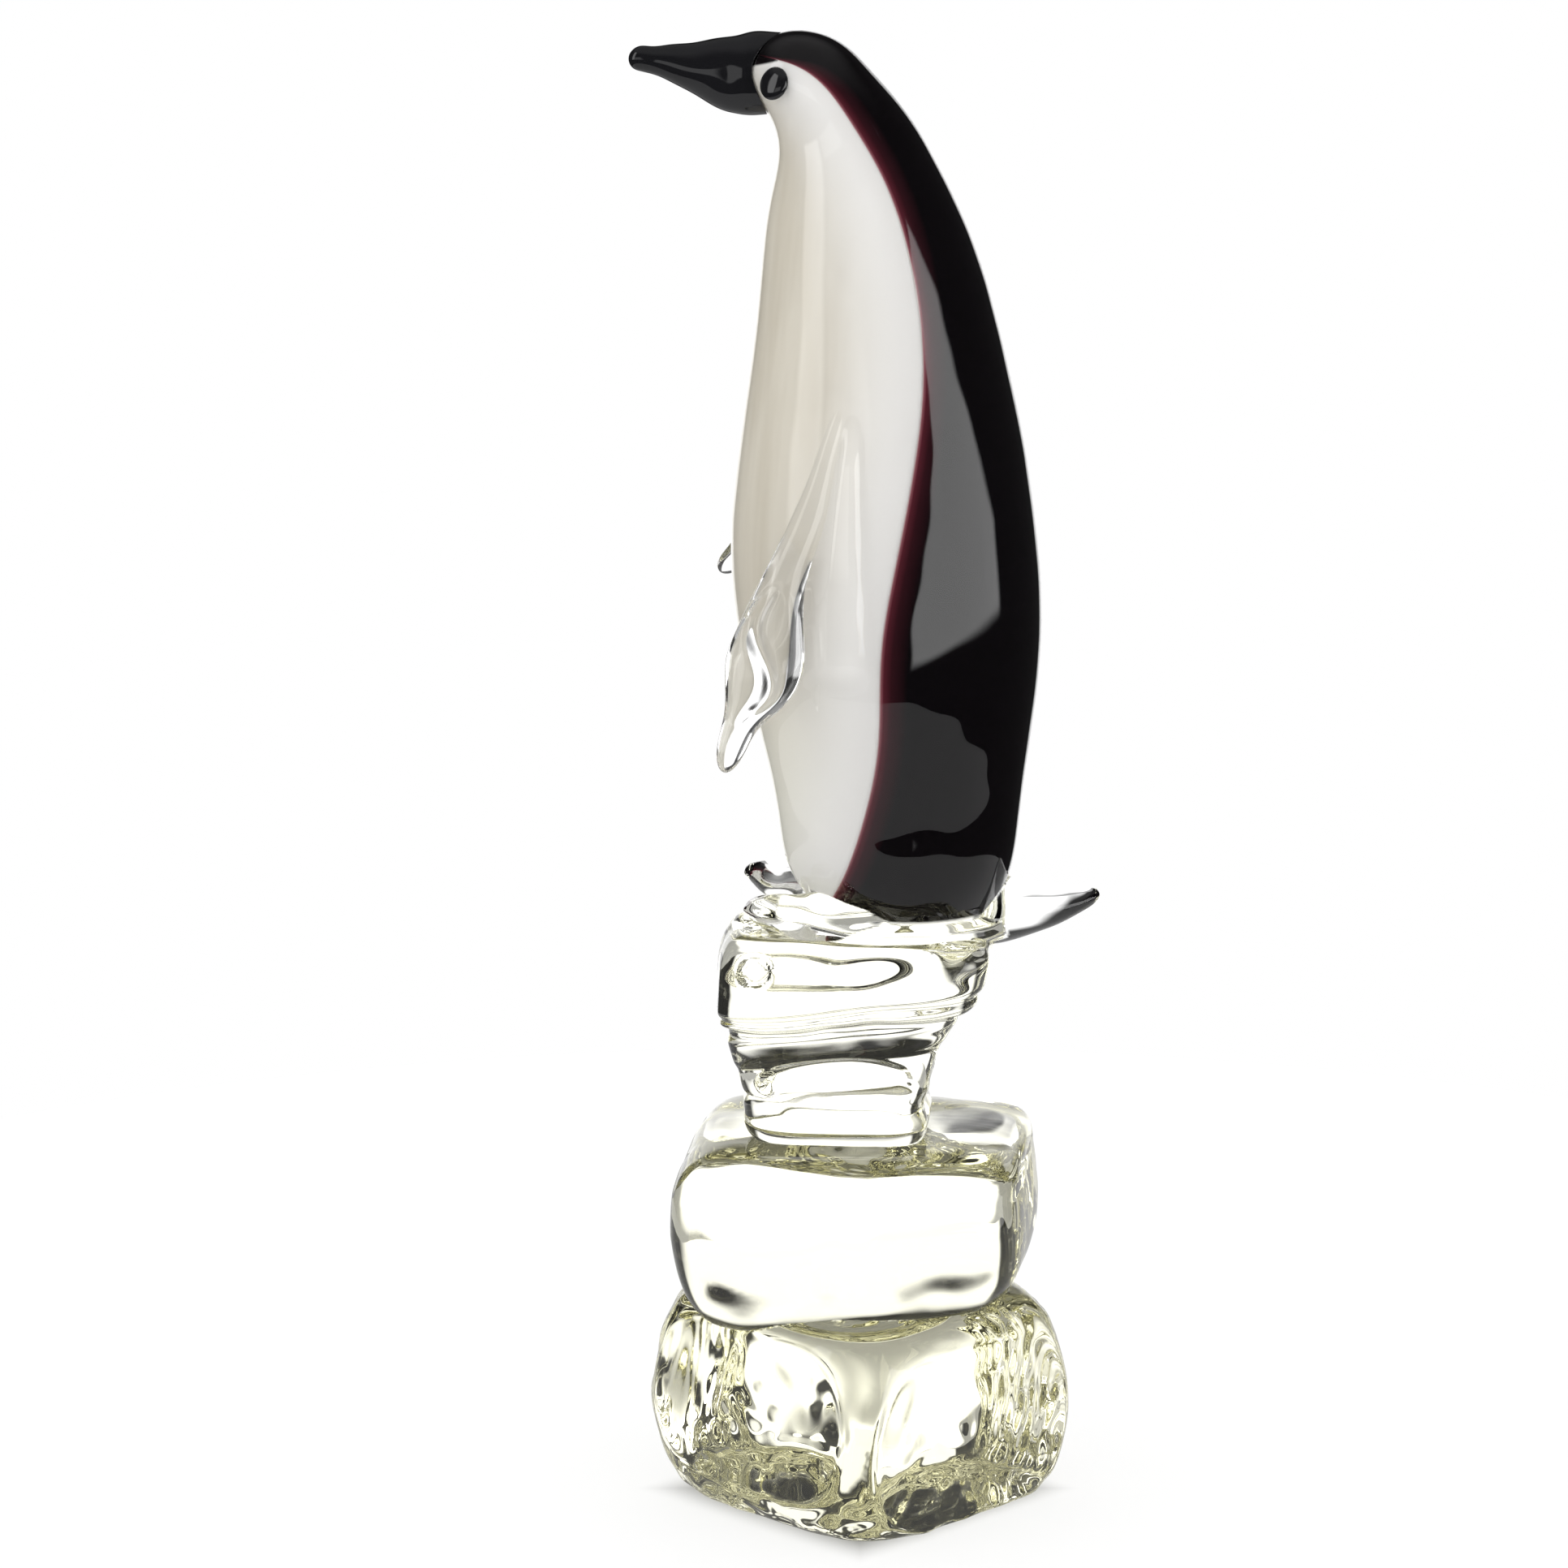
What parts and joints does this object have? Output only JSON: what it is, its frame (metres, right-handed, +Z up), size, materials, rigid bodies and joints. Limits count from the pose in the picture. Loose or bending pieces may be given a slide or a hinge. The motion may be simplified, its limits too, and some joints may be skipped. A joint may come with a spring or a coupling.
{
  "type": "penguin figurine",
  "caption": "Hot-worked glass penguin in a clear casing, white in front and dark behind, standing on a stack of clear ice blocks as a free-standing ornament.",
  "frame": {"origin": "middle of the lower ice block's flat underside, on the surface that the figurine stands on", "axes": "+Z up; the penguin looks along -X, so its left side faces -Y"},
  "size_m": [0.1103, 0.1135, 0.3506],
  "materials": {
    "ice_glass": "fire-polished, faint yellow-green tint",
    "clear_glass": "fire-polished, clear",
    "white_glass": "opaque warm white",
    "dark_glass": "near-black amethyst",
    "black_glass": "glossy black"
  },
  "bodies": {
    "root": {"lower_block": "ice_glass", "middle_block": "ice_glass", "upper_block": "ice_glass", "foot_pad": "clear_glass", "left_foot": "clear_glass", "right_foot": "clear_glass", "tail": "clear_glass", "body_casing": "clear_glass", "body_core": "white_glass", "back_overlay": "dark_glass", "left_flipper": "clear_glass", "right_flipper": "clear_glass", "beak": "black_glass", "left_eye": "black_glass", "right_eye": "black_glass"}
  },
  "joints": []
}
